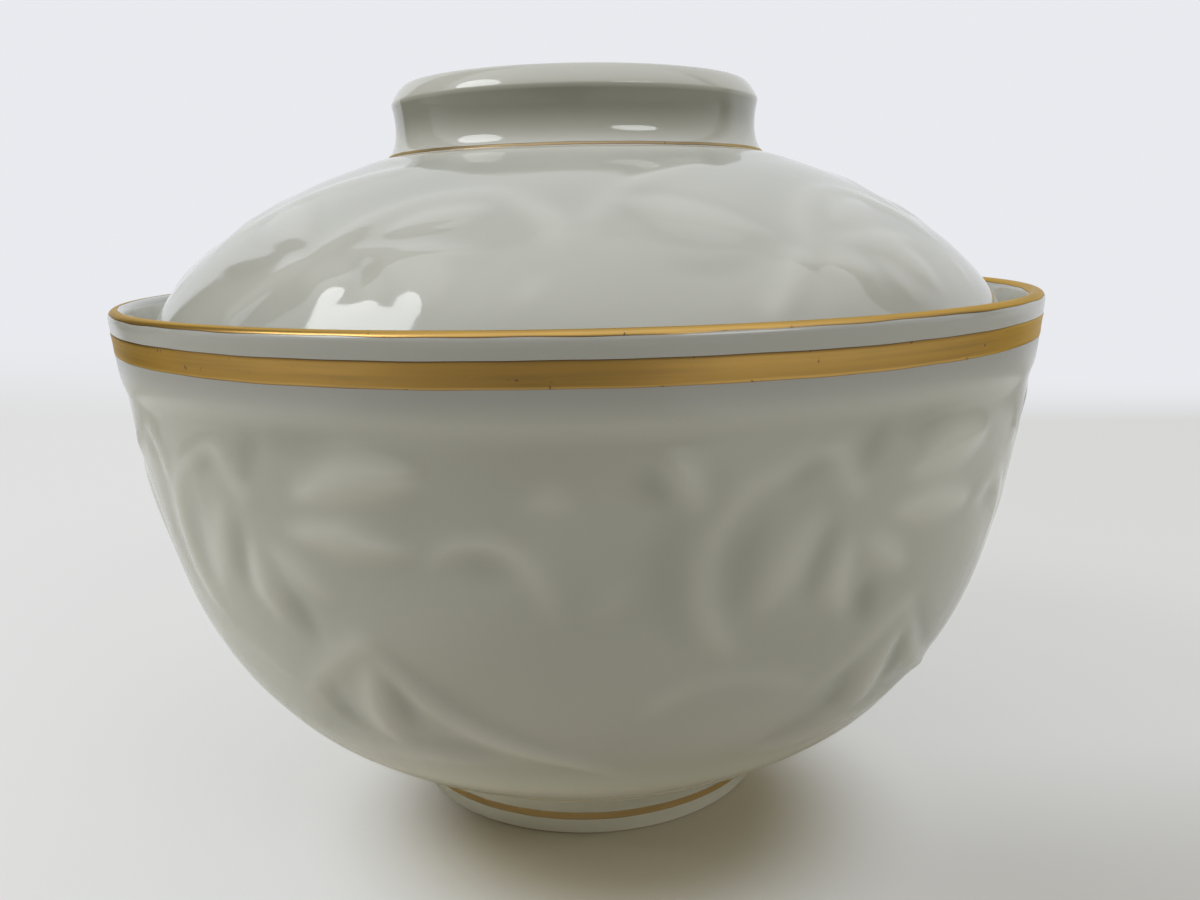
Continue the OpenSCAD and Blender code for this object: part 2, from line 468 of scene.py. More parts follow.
BOWL_SPRAY = (
    # Lobes of the upper leaf, fanned out from its middle, and the hollows between them
    Stroke(((6.4, 59.4), (11, 61.1), (15.4, 62), (21, 62.5)), 2.2, 0.60, Taper.LEAF),
    Stroke(((4.8, 56), (9, 56), (13, 55.8), (19.6, 55.3)), 1.8, 0.56, Taper.LEAF),
    Stroke(((2, 54.2), (5.6, 51.7), (9.4, 48.8)), 1.6, 0.36, Taper.LEAF),
    Stroke(((0.2, 54.6), (-0.3, 50.7), (-0.2, 48.5), (1.2, 44.8)), 1.4, 0.42, Taper.LEAF),
    Stroke(((-3.6, 58.2), (-5.4, 54.5), (-7, 51), (-9, 47)), 2.0, 0.30, Taper.LEAF),
    Stroke(((3.4, 49.4), (4.3, 46.6), (5.2, 43)), 1.5, -0.36, Taper.LEAF),
    Stroke(((-1.6, 56.6), (-2.9, 52.3), (-4, 47.6)), 1.3, -0.32, Taper.LEAF),
    Stroke(((-9, 58), (-11.2, 53.5), (-11.6, 47)), 1.8, -0.20, Taper.LEAF),
    # Outline of the upper leaf and the nick at its top
    Stroke(
        ((-1.2, 64.7), (-6.4, 62.8), (-11.4, 60.2), (-14, 56.8), (-15, 52.6), (-14.4, 47.4), (-10.7, 41.7)),
        1.0,
        0.30,
    ),
    Stroke(((-13, 63), (-17.5, 59), (-18.6, 53), (-18, 48), (-16, 43.5)), 1.9, -0.14, Taper.LEAF),
    Stroke(((-2.8, 64.8), (-2, 62.4), (-0.8, 60.2), (1.4, 58.6)), 1.0, 0.30),
    Stroke(((-7.4, 60.6), (-5, 62), (-4, 61)), 1.5, -0.22, Taper.LEAF),
    Stroke(((3.2, 66), (1.8, 63.4), (0.6, 61)), 1.5, -0.26, Taper.LEAF),
    Stroke(((3, 65), (8, 65.2), (13.6, 65.8)), 1.1, -0.18, Taper.LEAF),
    # Small leaf between two sprays
    Stroke(
        ((20, 52.8), (21.6, 55), (25, 56.4), (28.8, 55.2), (31, 51.2), (32.2, 47)),
        1.1,
        0.36,
        Taper.LEAF,
    ),
    Stroke(((23.2, 53), (25.8, 53.6), (28, 52.4)), 1.7, -0.16, Taper.LEAF),
    Stroke(((30, 60), (32, 60.6), (34.2, 60)), 1.2, 0.28, Taper.LEAF),
    Stroke(((42, 65), (43.6, 62.4), (44.5, 60.6), (44.2, 58.2)), 1.1, 0.46, Taper.LEAF),
    Stroke(((39, 63), (41.3, 61.8), (42.8, 59.8)), 1.6, -0.28, Taper.LEAF),
    Stroke(((40, 53), (35, 48)), 1.3, 0.12, Taper.LEAF),
    # Lower leaf with its raised edges, its middle lobe and the hollows beside them
    Stroke(((11.4, 44.2), (7.6, 41.8), (3, 37.8), (-1.6, 34)), 1.2, 0.28, Taper.TAIL),
    Stroke(
        ((11.6, 44.2), (14.4, 40.4), (19, 35.5), (24.2, 32), (29.2, 29.4), (35, 26.6), (41, 23)),
        1.2,
        0.48,
        Taper.LEAF,
    ),
    Stroke(
        ((13.2, 45), (15.8, 41.6), (18.6, 38.4), (22, 35.4), (27, 32.6), (33, 30)),
        1.7,
        -0.22,
        Taper.LEAF,
    ),
    Stroke(((11.8, 42), (10.8, 37.6), (10.2, 33.6), (11.2, 29.4)), 1.5, 0.46, Taper.LEAF),
    Stroke(((13, 40.4), (13.8, 36.8), (14.6, 32)), 1.5, -0.30, Taper.LEAF),
    Stroke(((5.6, 38.8), (4.8, 34.5), (6.8, 29.8)), 2.0, -0.26, Taper.LEAF),
    Stroke(((6, 34), (2, 30.6), (-4, 27)), 2.2, -0.20, Taper.LEAF),
    Stroke(((12, 30.5), (18, 30.4), (25, 29)), 1.8, -0.22, Taper.LEAF),
    Stroke(((-5, 26.6), (1, 25.3), (7, 26), (13, 27), (24, 27)), 1.3, 0.22, Taper.LEAF),
    Stroke(((-21, 35), (-18, 38), (-14, 39.6), (-9, 39.6), (-4, 38), (-1, 35.6)), 1.2, 0.16),
)

LID_SPRAY = (
    # Lobes of the leaf
    Stroke(((-1, 22.5), (6, 25), (13, 26.6)), 2.1, 0.30, Taper.LEAF),
    Stroke(((-5, 19.6), (4, 19.8), (14, 19.4)), 1.4, 0.24, Taper.LEAF),
    Stroke(((-9, 16), (-4.8, 16.2), (-1, 15.4)), 2.6, 0.25, Taper.LEAF),
    Stroke(((0.5, 17), (1.8, 14.5), (2.4, 11.5)), 1.5, 0.15, Taper.LEAF),
    Stroke(((1, 18), (4.8, 17.8), (7.6, 15.8), (8.8, 12)), 2.2, 0.32, Taper.LEAF),
    # Outline of the leaf
    Stroke(((-10, 16.5), (-7, 23), (-2, 27), (4, 29.3), (12, 29.6), (19, 26), (22.5, 18)), 1.4, 0.18),
    # Stem that climbs towards the knob
    Stroke(((-36, 21), (-34, 25), (-29, 30), (-24, 33.4), (-17, 36.2), (-9, 38)), 1.4, 0.24),
    Stroke(((-37, 20), (-32, 25.6), (-27, 30.4), (-21, 33)), 1.3, -0.16, Taper.LEAF),
    Stroke(((14, 28), (20, 24.6), (26, 20)), 1.3, 0.14, Taper.LEAF),
    # Pointed leaf beside the stem
    Stroke(((-31, 27.6), (-22, 25), (-12, 21)), 3.6, 0.17, Taper.LEAF),
    Stroke(((-32, 28.6), (-25, 29.4), (-17, 26), (-11.5, 20.8)), 1.1, -0.12),
    Stroke(((-31.5, 26.4), (-27, 22), (-20, 20.3), (-12, 20.4)), 1.1, -0.09),
    Stroke(((-10, 19), (-14.5, 13.5), (-18.5, 9.5)), 1.5, 0.27),
    Stroke(((-11, 16), (-14, 12), (-17, 9)), 1.3, -0.14, Taper.LEAF),
    Stroke(((-28, 17), (-22, 16.4), (-15, 18.4)), 1.2, -0.14, Taper.LEAF),
    Stroke(((18, 14.4), (20, 13.8)), 1.6, 0.16),
)


class Nodes:
    """Places and links the nodes of one material, group or world."""

    def __init__(self, tree: bpy.types.NodeTree) -> None:
        """Takes the tree to work on and clears it."""
        self.tree = tree
        tree.nodes.clear()

    def add(self, kind: str, inputs: dict | None = None, **settings: object) -> bpy.types.Node:
        """Places a node.

        Args:
            kind: The node's type name, without its ShaderNode prefix.
            inputs: Values and sockets for its inputs, by name or number.
            settings: Values for its own settings.

        Returns:
            The new node.
        """
        prefix = "" if kind.startswith("Node") else "ShaderNode"
        node = self.tree.nodes.new(prefix + kind)
        for name, value in settings.items():
            setattr(node, name, value)
        for name, value in (inputs or {}).items():
            if isinstance(value, bpy.types.NodeSocket):
                self.tree.links.new(value, node.inputs[name])
            else:
                node.inputs[name].default_value = value
        return node

    def math(self, operation: str, *values: object) -> bpy.types.NodeSocket:
        """Places a Math node and gives its result."""
        return self.add("Math", dict(enumerate(values)), operation=operation).outputs[0]

    def ramp(self, value: object, low: float, high: float) -> bpy.types.NodeSocket:
        """Places a node that rises from 0 to 1, softly at both ends.

        Args:
            value: What it reads.
            low: The value at which it gives 0.
            high: The value at which it gives 1, which may lie below the other.

        Returns:
            Its result.
        """
        node = self.add(
            "MapRange",
            {"Value": value, "From Min": low, "From Max": high},
            interpolation_type="SMOOTHSTEP",
        )
        return node.outputs["Result"]

    def within(self, value: object, span: Point, fades: Point) -> bpy.types.NodeSocket:
        """Places nodes that give 1 inside a span and fall softly to 0 outside it.

        Args:
            value: What they read.
            span: The two ends of the span.
            fades: How far the fall reaches beyond each end.

        Returns:
            Their result.
        """
        low, high = span
        return self.math(
            "MULTIPLY", self.ramp(value, low - fades[0], low), self.ramp(value, high + fades[1], high)
        )

    def mix(self, share: object, first: object, second: object) -> bpy.types.NodeSocket:
        """Mixes two colours by a share and gives the result."""
        return self.add("Mix", {0: share, 6: first, 7: second}, data_type="RGBA").outputs[2]

    def attribute(self, name: str) -> bpy.types.NodeSocket:
        """Reads the numbers that paint_points stored under a name."""
        return self.add("Attribute", attribute_name=name).outputs["Fac"]


@dataclass(frozen=True)
class Noise:
    """How a noise texture is set."""

    scale: float
    detail: float
    roughness: float = 0.5

    def place(self, nodes: Nodes, where: object, scale: object = None) -> bpy.types.NodeSocket:
        """Places the texture.

        Args:
            nodes: The nodes that it joins.
            where: The place that it reads.
            scale: A socket to take the scale from, in place of the one set here.

        Returns:
            Its value.
        """
        inputs = {
            "Vector": where,
            "Scale": self.scale if scale is None else scale,
            "Detail": self.detail,
            "Roughness": self.roughness,
        }
        return nodes.add("TexNoise", inputs).outputs["Fac"]


def opaque(colour: Colour) -> tuple[float, float, float, float]:
    """Adds full opacity to a colour."""
    return (*colour, 1.0)


def new_material(name: str) -> tuple[bpy.types.Material, Nodes]:
    """Starts a material.

    Args:
        name: Name of the material.

    Returns:
        The material and its nodes.
    """
    made = bpy.data.materials.new(name)
    made.use_nodes = True
    return made, Nodes(made.node_tree)


def new_group(name: str, inputs: dict[str, object], outputs: dict[str, str]) -> tuple[Nodes, bpy.types.Node]:
    """Starts a shader node group.

    Args:
        name: Name of the group.
        inputs: Default value of each input; a colour, a vector or a number sets its type.
        outputs: Socket type of each output.

    Returns:
        The group's nodes and its input node.
    """
    tree = bpy.data.node_groups.new(name, "ShaderNodeTree")
    nodes = Nodes(tree)
    for label, value in inputs.items():
        if isinstance(value, tuple):
            kind = "NodeSocketColor" if len(value) == 4 else "NodeSocketVector"
        else:
            kind = "NodeSocketFloat"
        socket = tree.interface.new_socket(label, in_out="INPUT", socket_type=kind)
        socket.default_value = value
    for label, kind in outputs.items():
        tree.interface.new_socket(label, in_out="OUTPUT", socket_type=kind)
    return nodes, nodes.add("NodeGroupInput")


@dataclass(frozen=True)
class MottledGlaze:
    """Effect of a glaze that is slightly cloudy and deepens in colour where it has pooled."""

    clear: Colour = (0.6, 0.6, 0.55)
    pooled: Colour = (0.5, 0.52, 0.45)
    clouds: Noise = Noise(60.0, 4.0)
    cloud_amount: float = 0.1
    ripples: Noise = Noise(330.0, 2.0)

    def group(self) -> bpy.types.NodeTree:
        """Builds the node group.

        Returns:
            The group, which gives the glaze's colour and its ripple.
        """
        nodes, given = new_group(
            "mottled_glaze",
            {
                "Place": (0.0, 0.0, 0.0),
                "Clear": opaque(self.clear),
                "Pooled": opaque(self.pooled),
                "Hollow": 0.0,
                "Cloud Scale": self.clouds.scale,
                "Cloud Amount": self.cloud_amount,
            },
            {"Colour": "NodeSocketColor", "Ripple": "NodeSocketFloat"},
        )
        place = given.outputs["Place"]
        cloud = self.clouds.place(nodes, place, given.outputs["Cloud Scale"])
        spread = nodes.math(
            "MULTIPLY", nodes.math("SUBTRACT", cloud, MID_NOISE), given.outputs["Cloud Amount"]
        )
        depth = nodes.math("ADD", given.outputs["Hollow"], spread)
        share = nodes.add("Clamp", {"Value": depth}).outputs[0]
        colour = nodes.mix(share, given.outputs["Clear"], given.outputs["Pooled"])
        nodes.add("NodeGroupOutput", {"Colour": colour, "Ripple": self.ripples.place(nodes, place)})
        return nodes.tree


@dataclass(frozen=True)
class IronSpecks:
    """Effect of small dark iron specks scattered in a glaze.

    Spacing is the number of cells in a metre, of which a share hold a speck. Size is in cells.
    """

    spacing: float = 260.0
    size: float = 0.028
    share: float = 0.05
    core_share: float = 0.5

    def group(self) -> bpy.types.NodeTree:
        """Builds the node group.

        Returns:
            The group, which gives a mask of the specks.
        """
        nodes, given = new_group(
            "iron_specks",
            {"Place": (0.0, 0.0, 0.0), "Spacing": self.spacing, "Size": self.size, "Share": self.share},
            {"Mask": "NodeSocketFloat"},
        )
        place, spacing, size = (given.outputs[label] for label in ("Place", "Spacing", "Size"))
        cells = nodes.add("TexVoronoi", {"Vector": place, "Scale": spacing})
        chosen = nodes.add("SeparateColor", {"Color": cells.outputs["Color"]}).outputs[0]
        kept = nodes.math("LESS_THAN", chosen, given.outputs["Share"])
        dot = nodes.add(
            "MapRange",
            {
                "Value": cells.outputs["Distance"],
                "From Min": nodes.math("MULTIPLY", size, self.core_share),
                "From Max": size,
                "To Min": 1.0,
                "To Max": 0.0,
            },
        ).outputs["Result"]
        nodes.add("NodeGroupOutput", {"Mask": nodes.math("MULTIPLY", dot, kept)})
        return nodes.tree


@dataclass(frozen=True)
class BrushedGilding:
    """Effect of gold that was brushed on, fired and slightly rubbed."""

    gold: Colour = (0.8, 0.6, 0.25)
    worn: Colour = (0.5, 0.35, 0.14)
    wear: float = 0.3
    brush_stretch: Place = (0.12, 0.12, 5.0)
    streaks: Noise = Noise(300.0, 3.0)
    streaked: Point = (0.35, 0.7)
    rubbing: Noise = Noise(75.0, 2.0)
    rubbed: Point = (0.38, 0.62)
    least_wear_share: float = 0.4
    smoothest: float = 0.24
    streak_roughness: float = 0.14
    pits: Noise = Noise(900.0, 3.0, 0.6)
    pitted: Point = (0.68, 0.74)
    edge_pitting: float = 0.08

    def group(self) -> bpy.types.NodeTree:
        """Builds the node group.

        Returns:
            The group, which gives the gold's colour and roughness and a mask of its pinholes.
        """
        nodes, given = new_group(
            "brushed_gilding",
            {
                "Place": (0.0, 0.0, 0.0),
                "Gold": opaque(self.gold),
                "Worn": opaque(self.worn),
                "Edge": 0.0,
                "Wear": self.wear,
            },
            {"Colour": "NodeSocketColor", "Roughness": "NodeSocketFloat", "Bare": "NodeSocketFloat"},
        )
        place, edge = given.outputs["Place"], given.outputs["Edge"]
        stretched = nodes.add("VectorMath", {0: place, 1: self.brush_stretch}, operation="MULTIPLY")
        streak = self.streaks.place(nodes, stretched.outputs[0])
        rub = nodes.ramp(self.rubbing.place(nodes, place), *self.rubbed)
        wear = nodes.math("MULTIPLY", rub, given.outputs["Wear"])
        wear = nodes.math("MULTIPLY_ADD", given.outputs["Wear"], self.least_wear_share, wear)
        worn_streak = nodes.math("MULTIPLY", nodes.ramp(streak, *self.streaked), wear)
        worn = nodes.add("Clamp", {"Value": nodes.math("ADD", worn_streak, edge)}).outputs[0]
        colour = nodes.mix(worn, given.outputs["Gold"], given.outputs["Worn"])
        rougher = nodes.math("MULTIPLY", streak, self.streak_roughness)
        roughness = nodes.math("ADD", self.smoothest, rougher)
        near_edge = nodes.math("MULTIPLY", edge, self.edge_pitting)
        pit = nodes.math("ADD", self.pits.place(nodes, place), near_edge)
        bare = nodes.ramp(pit, *self.pitted)
        nodes.add("NodeGroupOutput", {"Colour": colour, "Roughness": roughness, "Bare": bare})
        return nodes.tree


@dataclass(frozen=True)
class Groups:
    """The node groups that the materials share."""

    glaze: bpy.types.NodeTree
    specks: bpy.types.NodeTree
    gilding: bpy.types.NodeTree


@dataclass(frozen=True)
class PorcelainFinish:
    """Clear glossy glaze over ivory porcelain, bare on the edges that were wiped before firing."""

    name: str
    clear: Colour = (0.580, 0.578, 0.515)
    # Colour of pooled glaze; on the lid it also paints the shade in the knob's waist
    pooled: Colour = (0.295, 0.296, 0.250)
    # Grey that the glaze is given near the wide gold band
    band_grey_colour: Colour = (0.39, 0.395, 0.375)
    bare: Colour = (0.62, 0.58, 0.50)
    speck: Colour = (0.10, 0.075, 0.05)
    roughness: float = 0.07
    bare_roughness: float = 0.5
    band_grey_roughness: float = 0.16
    ior: float = 1.52
    ripple: float = 0.02

    def material(self, groups: Groups) -> bpy.types.Material:
        """Builds the material.

        Args:
            groups: The shared node groups.

        Returns:
            The material, which reads the attributes for pooled glaze (on the lid's knob also painted shade),
            the grey near the gold band and the bare edges.
        """
        made, nodes = new_material(self.name)
        place = nodes.add("TexCoord").outputs["Object"]
        hollow, band_grey, bare = (nodes.attribute(name) for name in ("hollow", "band_grey", "bare"))
        glaze = nodes.add(
            "Group",
            {"Place": place, "Clear": opaque(self.clear), "Pooled": opaque(self.pooled), "Hollow": hollow},
            node_tree=groups.glaze,
        )
        specks = nodes.add("Group", {"Place": place}, node_tree=groups.specks)
        greyed = nodes.mix(band_grey, glaze.outputs["Colour"], opaque(self.band_grey_colour))
        spotted = nodes.mix(specks.outputs["Mask"], greyed, opaque(self.speck))
        colour = nodes.mix(bare, spotted, opaque(self.bare))
        shine = nodes.math("MULTIPLY_ADD", bare, self.bare_roughness, self.roughness)
        shine = nodes.math("MULTIPLY_ADD", band_grey, self.band_grey_roughness, shine)
        bump = nodes.add(
            "Bump", {"Height": glaze.outputs["Ripple"], "Strength": self.ripple, "Distance": MM}
        )
        shader = nodes.add(
            "BsdfPrincipled",
            {"Base Color": colour, "Roughness": shine, "IOR": self.ior, "Normal": bump.outputs["Normal"]},
        )
        nodes.add("OutputMaterial", {"Surface": shader.outputs["BSDF"]})
        return made


@dataclass(frozen=True)
class GildingFinish:
    """Gold brushed on, fired and slightly rubbed, with dark fine edges and pinholes."""

    name: str
    gold: Colour = (0.60, 0.37, 0.107)
    worn: Colour = (0.17, 0.125, 0.09)
    pinhole: Colour = (0.14, 0.09, 0.05)
    grazing: Colour = (0.80, 0.68, 0.38)
    wear: float = 0.22
    metallic: float = 0.92
    pinhole_dulling: float = 0.8

    def material(self, groups: Groups) -> bpy.types.Material:
        """Builds the material.

        Args:
            groups: The shared node groups.

        Returns:
            The material, which reads the attribute edge.
        """
        made, nodes = new_material(self.name)
        gilding = nodes.add(
            "Group",
            {
                "Place": nodes.add("TexCoord").outputs["Object"],
                "Gold": opaque(self.gold),
                "Worn": opaque(self.worn),
                "Edge": nodes.attribute("edge"),
                "Wear": self.wear,
            },
            node_tree=groups.gilding,
        )
        bare = gilding.outputs["Bare"]
        colour = nodes.mix(bare, gilding.outputs["Colour"], opaque(self.pinhole))
        dulled = nodes.math("MULTIPLY", bare, self.pinhole_dulling)
        shader = nodes.add(
            "BsdfPrincipled",
            {
                "Base Color": colour,
                "Roughness": gilding.outputs["Roughness"],
                "Metallic": nodes.math("SUBTRACT", self.metallic, dulled),
                "Specular Tint": opaque(self.grazing),
            },
        )
        nodes.add("OutputMaterial", {"Surface": shader.outputs["BSDF"]})
        return made


@dataclass(frozen=True)
class FiredLine:
    """A line or band of gold laid on a wall, with the slightly uneven edges of a brush.

    It rises from the wall at both edges, may dip in its middle, and reaches a little into the wall.
    Its second edge may drift back, most of all on the left. Each of the waves in its edges has a
    count round the axis and a height as a share of the first one's.
    """

    name: str
    unevenness: float = 0.05
    drift: float = 0.0
    proud: float = 0.03
    dip: float = 0.0
    sunk: float = 0.1
    dark_edge_w: float = 0.11
    edge_darkness: float = 0.85
    lip_share: float = 0.08
    sharp_angle: float = 40.0
    rows: int = 9
    waves: tuple[tuple[float, float], ...] = ((7, 1.0), (19, 0.7), (43, 0.5))

    def waver(self, turn: np.ndarray, side: int) -> np.ndarray:
        """Works out how far one edge wanders, to either side of its place.

        Args:
            turn: Azimuths in radians.
            side: 1 for the first edge and 2 for the second.

        Returns:
            The distance at each azimuth, in millimetres.
        """
        seed = float(len(self.name))
        phases = (seed, 2 * seed, side * seed)
        waves = sum(
            share * np.sin(count * turn + phase) for (count, share), phase in zip(self.waves, phases)
        )
        return self.unevenness / 2 * waves

    def build(self, wall: np.ndarray, start: float, end: float) -> bpy.types.Object:
        """Builds the line as a thin closed ring.

        Args:
            wall: Points of the outline that carries the line.
            start: Where the line starts, in millimetres along that outline.
            end: Where it ends.

        Returns:
            The ring, with its points painted for edge.
        """
        along = lengths_along(wall)
        turn = np.linspace(0.0, 2 * math.pi, AROUND, endpoint=False)
        low = start + self.waver(turn, 1)
        high = end + self.waver(turn, 2) - self.drift * (1 - np.sin(turn)) / 2
        shares = np.linspace(0.0, 1.0, self.rows)[:, None]
        places = low + (high - low) * shares
        radii, heights, out_r, out_z = (
            np.interp(places, along, column) for column in (*wall.T, *outward(wall).T)
        )
        lift = self.proud * np.clip(np.minimum(shares, 1 - shares) / self.lip_share, 0.0, 1.0)
        lift = lift - self.dip * 4 * shares * (1 - shares)
        outer_r, outer_z = radii + out_r * lift, heights + out_z * lift
        inner_r, inner_z = radii - out_r * self.sunk, heights - out_z * self.sunk
        piece = turned_mesh(
            self.name, np.vstack([outer_r, inner_r[::-1]]), np.vstack([outer_z, inner_z[::-1]]), True
        )
        piece.data.set_sharp_from_angle(angle=math.radians(self.sharp_angle))
        to_edge = np.minimum(places - low, high - places)
        dark = self.edge_darkness * np.clip(1 - to_edge / self.dark_edge_w, 0.0, 1.0)
        paint_points(piece, "edge", np.vstack([dark, dark[::-1]]))
        return piece


@dataclass(frozen=True)
class Bowl:
    """Porcelain bowl with its foot ring and three lines of gold.

    The glaze is made greyer and darker for a set reach below the wide band, and the strip above the
    band keeps a set share of that. The counts of rows are those of the outline's stretches.
    """

    rim_r: float = 60.0
    height: float = 68.9
    rim_t: float = 2.0
    floor_t: float = 4.5
    foot_r: float = 25.0
    foot_root_r: float = 26.8
    foot_h: float = 5.9
    foot_t: float = 3.0
    foot_edge_r: float = 0.6
    foot_recess_h: float = 5.0
    foot_draft: float = 0.9
    recess_fillet: float = 1.4
    rim_gild_h: float = 0.5
    band_drop: float = 2.5
    band_w: float = 2.55
    foot_line_h: float = 3.2
    foot_line_w: float = 1.3
    band_grey_reach: float = 5.0
    strip_grey_share: float = 0.7
    foot_pull_shares: tuple[Point, Point] = ((0.20, 0.28), (0.62, 0.62))
    wall_pull_shares: tuple[Point, Point] = ((0.63, 0.19), (0.895, 0.28))
    hollow_pull_shares: tuple[Point, Point] = ((0.565, 0.0), (0.897, 0.031))
    bare_edge_share: float = 0.9
    wall_rows: int = 122
    hollow_rows: int = 33
    rim_rows: int = 11
    foot_rows: int = 7
    foot_edge_rows: int = 5
    recess_rows: int = 5
    fillet_rows: int = 6
    carving: CarvedZone = CarvedZone(
        BOWL_SPRAY,
        middles=(-155, -95, -35, 26, 86, 146),
        low_edge=19.0,
        high_edge=67.6,
        edge_widths=(8.0, 1.2),
        ground_depth=0.38,
    )
    rim_line: FiredLine = FiredLine("gold_on_rim", unevenness=0.10, drift=0.95, rows=13)
    band: FiredLine = FiredLine("wide_gold_ring", proud=0.07, dip=0.055, rows=17)
    foot_line: FiredLine = FiredLine("gold_line_on_foot")
    glaze: PorcelainFinish = PorcelainFinish("glazed_bowl")
    gold: GildingFinish = GildingFinish("fired_gold")
    # The foot's line is a lighter copy of the gold: partly its own duller, yellower gold and partly painted
    # light, lifting it where it mirrors the dark floor of the contact shadow
    foot_gold: GildingFinish = GildingFinish("lighter_foot_gold", gold=(0.90, 0.67, 0.37), worn=(0.50, 0.39, 0.25))

    def wall(self) -> np.ndarray:
        """Gives the outside from the root of the foot up to the rim."""
        root = (self.foot_root_r, self.foot_h)
        return pulled(root, (self.rim_r, self.height - self.rim_t / 2), self.wall_pull_shares)

    def foot(self) -> np.ndarray:
        """Gives the foot ring's outside from the table up to its root."""
        root = (self.foot_root_r, self.foot_h)
        return pulled((self.foot_r, self.foot_edge_r), root, self.foot_pull_shares)

    def rim(self) -> np.ndarray:
        """Gives the rounded rim from its outside over to its inside."""
        return arc((self.rim_r - self.rim_t / 2, self.height - self.rim_t / 2), self.rim_t / 2, 0, 180)

    def hollow(self) -> np.ndarray:
        """Gives the inside from the middle of the floor up to the rim."""
        rim = (self.rim_r - self.rim_t, self.height - self.rim_t / 2)
        return pulled((0.0, self.foot_recess_h + self.floor_t), rim, self.hollow_pull_shares)

    def underside(self) -> list[np.ndarray]:
        """Lays out the recess and the foot ring's standing face, from the axis outwards.

        Returns:
            The stretches of the outline, in order.
        """
        inner = self.foot_r - self.foot_t
        edge = self.foot_edge_r
        fillet = self.recess_fillet
        flat_r = inner - self.foot_draft - fillet
        flat = np.array([(0.0, self.foot_recess_h), (flat_r, self.foot_recess_h)])
        return [
            resampled(flat, self.recess_rows),
            resampled(arc((flat_r, self.foot_recess_h - fillet), fillet, 90, 0), self.fillet_rows)[1:],
            resampled(arc((inner + edge, edge), edge, 180, 270), self.foot_edge_rows),
            resampled(arc((self.foot_r - edge, edge), edge, 270, 360), self.foot_edge_rows),
        ]

    def build_porcelain(self) -> bpy.types.Object:
        """Builds the porcelain, with the carving worked into its outside.

        Returns:
            The piece, with its points painted for pooled glaze, the grey near the gold band and the bare
            edges.
        """
        wall = resampled(self.wall(), self.wall_rows)
        before = [*self.underside(), resampled(self.foot(), self.foot_rows)[1:-1]]
        after = [
            resampled(self.rim(), self.rim_rows)[1:],
            resampled(self.hollow()[::-1], self.hollow_rows)[1:],
        ]
        piece, rows, pooled = carved_turning("porcelain_bowl", before, wall, after, self.carving)
        paint_points(piece, "hollow", pooled)
        out, up = rows.T
        above = up - (self.height - self.band_drop - self.band_w)
        # The glaze is greyer and darker from the rim down to a little below the wide band
        band_grey = smooth_step(above, -self.band_grey_reach, 0.0) * (out > self.rim_r - self.rim_t)
        band_grey *= 1 - (1 - self.strip_grey_share) * smooth_step(above, 0.0, self.band_w)
        paint_rows(piece, "band_grey", band_grey)
        standing = (up < self.foot_edge_r * self.bare_edge_share) & (out > self.foot_r - self.foot_t)
        paint_rows(piece, "bare", standing)
        return piece

    def build(self) -> dict[str, bpy.types.Object]:
        """Builds the porcelain and its three lines of gold.

        Returns:
            The pieces, by the node that each stands for.
        """
        wall, foot, rim = self.wall(), self.foot(), self.rim()
        top = self.height - self.band_drop
        band = np.interp([top - self.band_w, top], wall[:, 1], lengths_along(wall))
        line_low = self.foot_line_h - self.foot_line_w / 2
        line = np.interp([line_low, line_low + self.foot_line_w], foot[:, 1], lengths_along(foot))
        bend_r = self.rim_t / 2
        bare = math.asin((bend_r - self.rim_gild_h) / bend_r) * bend_r
        return {
            "bowl": self.build_porcelain(),
            "rim_gilding": self.rim_line.build(rim, bare, lengths_along(rim)[-1] - bare),
            "wide_gold_band": self.band.build(wall, *band),
            "foot_gold_line": self.foot_line.build(foot, *line),
        }

    def dress(self, pieces: dict[str, bpy.types.Object], groups: Groups) -> None:
        """Gives each piece its finish.

        Args:
            pieces: The pieces, by the node that each stands for.
            groups: The shared node groups.
        """
        gold = self.gold.material(groups)
        finishes = {
            "bowl": self.glaze.material(groups),
            "rim_gilding": gold,
            "wide_gold_band": gold,
            "foot_gold_line": self.foot_gold.material(groups),
        }
        for node, piece in pieces.items():
            piece.data.materials.append(finishes[node])


